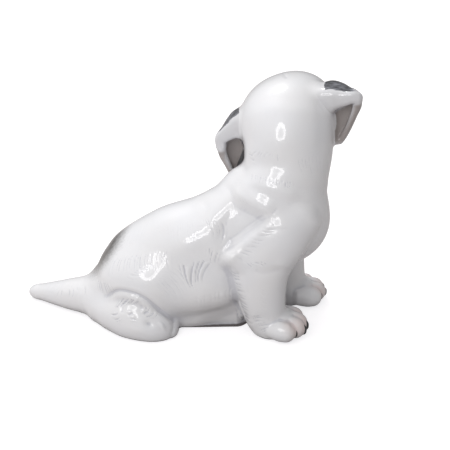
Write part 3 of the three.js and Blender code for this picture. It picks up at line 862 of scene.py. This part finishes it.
def casting(name, columns, faces):
    """Makes one closed casting from its share of the skin. The openings at its joints are filled."""
    used = np.unique(faces)
    index = np.zeros(len(columns), int)
    index[used] = np.arange(len(used))
    columns = columns[used]
    mesh = bpy.data.meshes.new(name + "_glazed")
    mesh.from_pydata(columns[:, :3], [], index[faces])
    for k, paint in enumerate(PAINT):
        layer = mesh.attributes.new(paint, "FLOAT", "POINT")
        layer.data.foreach_set("value", columns[:, 6 + k])
    clay = bmesh.new()
    clay.from_mesh(mesh)
    open_edges = [edge for edge in clay.edges if edge.is_boundary]
    caps = bmesh.ops.holes_fill(clay, edges=open_edges, sides=0)["faces"]
    bmesh.ops.poke(clay, faces=caps)
    clay.to_mesh(mesh)
    clay.free()
    mesh.polygons.foreach_set("use_smooth", np.ones(len(mesh.polygons), bool))
    own = np.zeros((len(mesh.vertices), 3))
    own[: len(columns)] = columns[:, 3:6]
    mesh.normals_split_custom_set_from_vertices(own)
    piece = bpy.data.objects.new(name + "_glazed", mesh)
    bpy.context.scene.collection.objects.link(piece)
    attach(piece, "root")
    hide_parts(name)
    return piece


rest = faces
pieces = {}
for name, ear in zip(("right_ear", "left_ear"), ears):
    spots = columns[:, :3]
    side = ear.read(spots) - np.minimum(torso.read(spots), head.read(spots))
    columns, pieces[name], rest = parted(columns, rest, side)
columns, pieces["head_casting"], rest = parted(columns, rest, NECK_JOINT - columns[:, 2])
for name, leg in zip(("right_foreleg", "left_foreleg"), legs):
    spots = columns[:, :3]
    side = np.maximum(leg.read(spots) - torso.read(spots), columns[:, 2] - ELBOW_JOINT)
    columns, pieces[name], rest = parted(columns, rest, side)
for name, foot in zip(("right_hind_foot", "left_hind_foot"), hind_feet):
    spots = columns[:, :3]
    side = np.maximum(foot.read(spots) - torso.read(spots), HOCK_END - columns[:, 0])
    columns, pieces[name], rest = parted(columns, rest, side)
columns, pieces["tail"], rest = parted(columns, rest, columns[:, 0] - TAIL_JOINT)
pieces["torso_casting"] = rest
made = {
    name: casting(name, columns, mine)
    for name, mine in pieces.items()
}

# Glaze
# White porcelain under a clear glaze, which pools faintly blue in the creases, darkened there as painted
# shade. The patches, the eyes, the nose and the claws are painted under it.


def feed(tree, socket, value):
    """Links a socket to another one, or sets it."""
    if isinstance(value, bpy.types.NodeSocket):
        tree.links.new(value, socket)
    else:
        socket.default_value = value


def add(tree, kind, *values, **settings):
    """A new node ShaderNode`kind`, with its settings, and its first sockets linked or set, in order."""
    made = tree.nodes.new("ShaderNode" + kind)
    for key, value in settings.items():
        setattr(made, key, value)
    for socket, value in zip(made.inputs, values):
        feed(tree, socket, value)
    return made


def tuned(tree, made, values):
    """The node `made`, with its named sockets linked or set."""
    for label, value in values.items():
        feed(tree, made.inputs[label], value)
    return made


def attribute(tree, name):
    """What the skin carries under `name`."""
    return add(tree, "Attribute", attribute_name=name).outputs["Fac"]


def ramp(tree, value, low, high, start=0.0, end=1.0):
    """Smooth step from `start`, where `value` is `low`, to `end`, where it is `high`."""
    made = add(tree, "MapRange", value, low, high, start, end, interpolation_type="SMOOTHSTEP")
    return made.outputs[0]


def between(tree, factor, a, b):
    """The value `a` where `factor` is 0, going over into the value `b` where it is 1."""
    return add(tree, "MapRange", factor, 0.0, 1.0, a, b).outputs[0]


def blend(tree, factor, a, b):
    """The colour `a` where `factor` is 0, going over into the colour `b` where it is 1."""
    made = add(tree, "Mix", data_type="RGBA")
    for socket, value in zip([k for k in made.inputs if k.enabled], (factor, a, b)):
        feed(tree, socket, value)
    return [k for k in made.outputs if k.enabled][0]


def math_node(tree, operation, a, b):
    return add(tree, "Math", a, b, operation=operation).outputs[0]


def noise(tree, vector, scale, detail, rough):
    made = add(tree, "TexNoise", vector)
    return tuned(tree, made, {"Scale": scale, "Detail": detail, "Roughness": rough}).outputs["Fac"]


def shared(name, takes, gives):
    """A node group with inputs (name, kind, value) and one output (name, kind)."""
    tree = bpy.data.node_groups.new(name, "ShaderNodeTree")
    for label, kind, value in takes:
        socket = tree.interface.new_socket(label, in_out="INPUT", socket_type=kind)
        socket.default_value = value
    tree.interface.new_socket(gives[0], in_out="OUTPUT", socket_type=gives[1])
    return tree, tree.nodes.new("NodeGroupInput").outputs, tree.nodes.new("NodeGroupOutput").inputs


def placed(tree, group, **values):
    """The output of `group` in a material, with its named inputs linked or set."""
    return tuned(tree, add(tree, "Group", node_tree=group), values).outputs[0]


COLOUR = "NodeSocketColor"
VALUE = "NodeSocketFloat"

# The glaze over white, the bare foot and its edge in painted shadow, and the paints, some of them painted
# shade
CLEAR = (0.82, 0.82, 0.845, 1)
CLOUDED = (0.835, 0.828, 0.842, 1)
# the glaze pooled blue in the creases, darkened there as painted shade
POOLED_AND_SHADED = (0.56, 0.565, 0.62, 1)
BARE = (0.62, 0.59, 0.55, 1)
# painted shadow: a dark line along the foot's edge where it meets the table
FOOT_SHADOW = (0.12, 0.105, 0.105, 1)
GREY_BLACK = (0.1, 0.094, 0.09, 1)
# painted shade on the ears past their root
SHADE_GREY = (0.42, 0.42, 0.45, 1)
# brown-grey paint in the ears' hollows, darkened as painted shade
BROWN_GREY_AND_SHADE = (0.29, 0.25, 0.235, 1)
DRY_BRUSH = (0.23, 0.235, 0.265, 1)
FULL_BRUSH = (0.018, 0.02, 0.024, 1)
LIP_BROWN = (0.2, 0.15, 0.14, 1)
NOSE_BLACK = (0.035, 0.033, 0.035, 1)
EYE_BROWN = (0.03, 0.022, 0.02, 1)
PINK = (0.74, 0.56, 0.52, 1)
CLAW_BLACK = (0.02, 0.02, 0.022, 1)

white_body, takes, gives = shared(
    "white body under glaze",
    [
        ("Clear", COLOUR, CLEAR),
        ("Clouded", COLOUR, CLOUDED),
        ("Pooled and shaded", COLOUR, POOLED_AND_SHADED),
        ("Crease", VALUE, 0),
    ],
    ("Color", COLOUR),
)
where = add(white_body, "TexCoord").outputs["Object"]
clouds = ramp(white_body, noise(white_body, where, 45, 2, 0.55), 0.3, 0.7)
body = blend(white_body, clouds, takes["Clear"], takes["Clouded"])
# painted shade: the creases darkened towards the pooled colour
pooled_shade = math_node(white_body, "MULTIPLY", ramp(white_body, takes["Crease"], 0.0, 0.09), 0.6)
white_body.links.new(blend(white_body, pooled_shade, body, takes["Pooled and shaded"]), gives["Color"])

brush, takes, gives = shared(
    "brush strokes", [("Shape", VALUE, 0), ("Ragged", VALUE, 0.4), ("Soft", VALUE, 0.1)], ("Mask", VALUE)
)
where = add(brush, "TexCoord").outputs["Object"]
stretch = add(brush, "Mapping", where)
tuned(brush, stretch, {"Scale": (0.25, 1.0, 1.0), "Rotation": (0, 0.9, 0)})
bristles = math_node(brush, "SUBTRACT", noise(brush, stretch.outputs[0], 1100, 4, 0.6), 0.5)
edge = math_node(brush, "ADD", takes["Shape"], math_node(brush, "MULTIPLY", bristles, takes["Ragged"]))
brush.links.new(ramp(brush, edge, 0.0, takes["Soft"]), gives["Mask"])

foot_ring, takes, gives = shared(
    "height band at the foot", [("Low", VALUE, 0.0003), ("High", VALUE, 0.0006)], ("Mask", VALUE)
)
split = add(foot_ring, "SeparateXYZ", add(foot_ring, "TexCoord").outputs["Object"])
mask = add(foot_ring, "MapRange", split.outputs["Z"], takes["Low"], takes["High"], 1.0, 0.0)
foot_ring.links.new(mask.outputs[0], gives["Mask"])


def glazed(name, paint, foot=True):
    """White porcelain under a clear glaze. `paint` adds the colours that are brushed on below it. The
    glaze is wiped off the foot, where the bare body is matt, and its edge is painted dark as the shadow
    where it meets the table."""
    material = bpy.data.materials.new(name)
    material.use_nodes = True
    tree = material.node_tree
    shader = tree.nodes["Principled BSDF"]
    body = placed(tree, white_body, Crease=attribute(tree, "cavity"))
    body = paint(tree, body)
    coat = {"Coat Weight": 1.0, "Coat Roughness": 0.05, "Coat IOR": 1.55}
    tuned(tree, shader, {"Roughness": 0.4, **coat})
    if foot:
        # painted shadow: a thin dark band along the foot's edge where it meets the table, matt
        edge = placed(tree, foot_ring, Low=0.0007, High=0.0013)
        bottom = placed(tree, foot_ring, Low=0.00005, High=0.00015)
        body = blend(tree, edge, body, FOOT_SHADOW)
        body = blend(tree, bottom, body, BARE)
        tree.links.new(math_node(tree, "SUBTRACT", 1.0, edge), shader.inputs["Coat Weight"])
        tree.links.new(between(tree, edge, 0.4, 0.85), shader.inputs["Roughness"])
    tree.links.new(body, shader.inputs["Base Color"])
    return material


def rump_paint(tree, body):
    """A soft grey-black patch over the rump."""
    mask = placed(tree, brush, Shape=attribute(tree, "rump"), Ragged=0.3, Soft=0.6)
    return blend(tree, mask, body, GREY_BLACK)


def ear_paint(tree, body):
    """A faint grey past the root, which is painted shade, and brown-grey paint in the hollow, darkened as
    painted shade. The fold is black, with grey where the brush ran dry."""
    # painted shade: a faint grey over the ear past its root
    root = math_node(tree, "MULTIPLY", attribute(tree, "ear_painted_shade"), 0.3)
    body = blend(tree, root, body, SHADE_GREY)
    # brown-grey paint in the hollow, darkened as painted shade
    hollow = math_node(tree, "MULTIPLY", attribute(tree, "inside_ear"), 0.9)
    body = blend(tree, hollow, body, BROWN_GREY_AND_SHADE)
    patch = attribute(tree, "patch")
    full = placed(tree, brush, Shape=patch, Ragged=1.1, Soft=0.45)
    fold = blend(tree, full, DRY_BRUSH, FULL_BRUSH)
    return blend(tree, placed(tree, brush, Shape=patch, Ragged=0.35, Soft=0.1), body, fold)


def face_paint(tree, body):
    """A black nose, dark brown eyes and a thin line along the mouth."""
    lips = math_node(tree, "MULTIPLY", attribute(tree, "mouth"), 0.7)
    body = blend(tree, lips, body, LIP_BROWN)
    nose = ramp(tree, attribute(tree, "nose"), -0.03, 0.08)
    body = blend(tree, nose, body, NOSE_BLACK)
    eyes = ramp(tree, attribute(tree, "eye"), -0.02, 0.03)
    return blend(tree, eyes, body, EYE_BROWN)


def paw_paint(tree, body):
    """The toes are faintly pink and the claws black."""
    blush = math_node(tree, "MULTIPLY", ramp(tree, attribute(tree, "toes"), -0.2, 0.7), 0.6)
    body = blend(tree, blush, body, PINK)
    nails = ramp(tree, attribute(tree, "claw"), -0.03, 0.08)
    return blend(tree, nails, body, CLAW_BLACK)


# By the end of a piece's name. The last is for all the others.
GLAZES = {
    "ear": glazed("glazed ear with a black fold", ear_paint, foot=False),
    "head_casting": glazed("glazed head", face_paint, foot=False),
    "foreleg": glazed("glazed paw", paw_paint),
    "": glazed("glazed body with a grey rump", rump_paint),
}
for name, piece in made.items():
    piece.data.materials.append(next(glaze for end, glaze in GLAZES.items() if name.endswith(end)))

# The table and the room
# White paper, which runs on behind the figure and keeps its shadow. It glows only for the camera, as
# the room does, so that the white lights nothing and the glaze mirrors a dim room.
SPAN = 3.0
DOWN = -5e-5  # just under the foot
floor_mesh = bpy.data.meshes.new("floor")
corners = [(-SPAN, -SPAN, DOWN), (SPAN, -SPAN, DOWN), (SPAN, SPAN, DOWN), (-SPAN, SPAN, DOWN)]
floor_mesh.from_pydata(corners, [], [(0, 1, 2, 3)])
floor = bpy.data.objects.new("floor", floor_mesh)
bpy.context.scene.collection.objects.link(floor)
paper = bpy.data.materials.new("paper")
paper.use_nodes = True
tree = paper.node_tree
tree.nodes.clear()
sheet = add(tree, "BsdfDiffuse", (0.47, 0.45, 0.445, 1))
rays = add(tree, "LightPath").outputs
shine = math_node(tree, "MULTIPLY", rays["Is Camera Ray"], 0.74)
glow = add(tree, "Emission", (0.98, 0.98, 1, 1), shine)
both = add(tree, "AddShader", sheet.outputs[0], glow.outputs[0])
add(tree, "OutputMaterial", both.outputs[0])
floor_mesh.materials.append(paper)

world = bpy.data.worlds.new("studio")
bpy.context.scene.world = world
world.use_nodes = True
tree = world.node_tree
tree.nodes.clear()
BRIGHT_SIDE = (-0.76, -0.15, 0.63)
way = add(tree, "TexCoord").outputs["Generated"]
toward = add(tree, "VectorMath", way, BRIGHT_SIDE, operation="DOT_PRODUCT").outputs["Value"]
lit = ramp(tree, toward, -0.7, 0.9, start=0.19, end=0.9)
rays = add(tree, "LightPath").outputs
mirrored = between(tree, rays["Is Glossy Ray"], lit, 0.22)
level = between(tree, rays["Is Camera Ray"], mirrored, 1.0)
room = add(tree, "Background", (1, 1, 1, 1), level)
add(tree, "OutputWorld", room.outputs[0])

# The lamps
# Two softboxes that are weaker in the middle, which leaves a ring of light on the glaze.


def softbox(name, place, aim, size, power, middle):
    """A round area lamp at `place` that faces `aim`, in metres. Its middle shines with the share
    `middle` of the strength of its rim."""
    data = bpy.data.lights.new(name, "AREA")
    data.size = size
    data.energy = power
    data.shape = "DISK"
    data.use_nodes = True
    tree = data.node_tree
    spot = add(tree, "NewGeometry").outputs["Parametric"]
    out = add(tree, "VectorMath", spot, (0.5, 0.5, 0), operation="DISTANCE").outputs["Value"]
    tree.links.new(ramp(tree, out, 0.2, 0.34, middle), tree.nodes["Emission"].inputs["Strength"])
    lamp = bpy.data.objects.new(name, data)
    bpy.context.scene.collection.objects.link(lamp)
    away = unit(np.subtract(place, aim))
    side = unit(np.cross((0, 0, 1), away))
    lamp.matrix_world = posed(side, np.cross(away, side), away, place)


softbox("key softbox", (-0.38, -0.92, 0.76), (0.0, 0.0, 0.06), size=0.62, power=4.6, middle=0.15)
softbox("overhead softbox", (-0.3, 0.42, 0.95), (0.0, 0.0, 0.05), size=0.4, power=5.0, middle=0.3)

bpy.context.scene.view_settings.view_transform = "Standard"
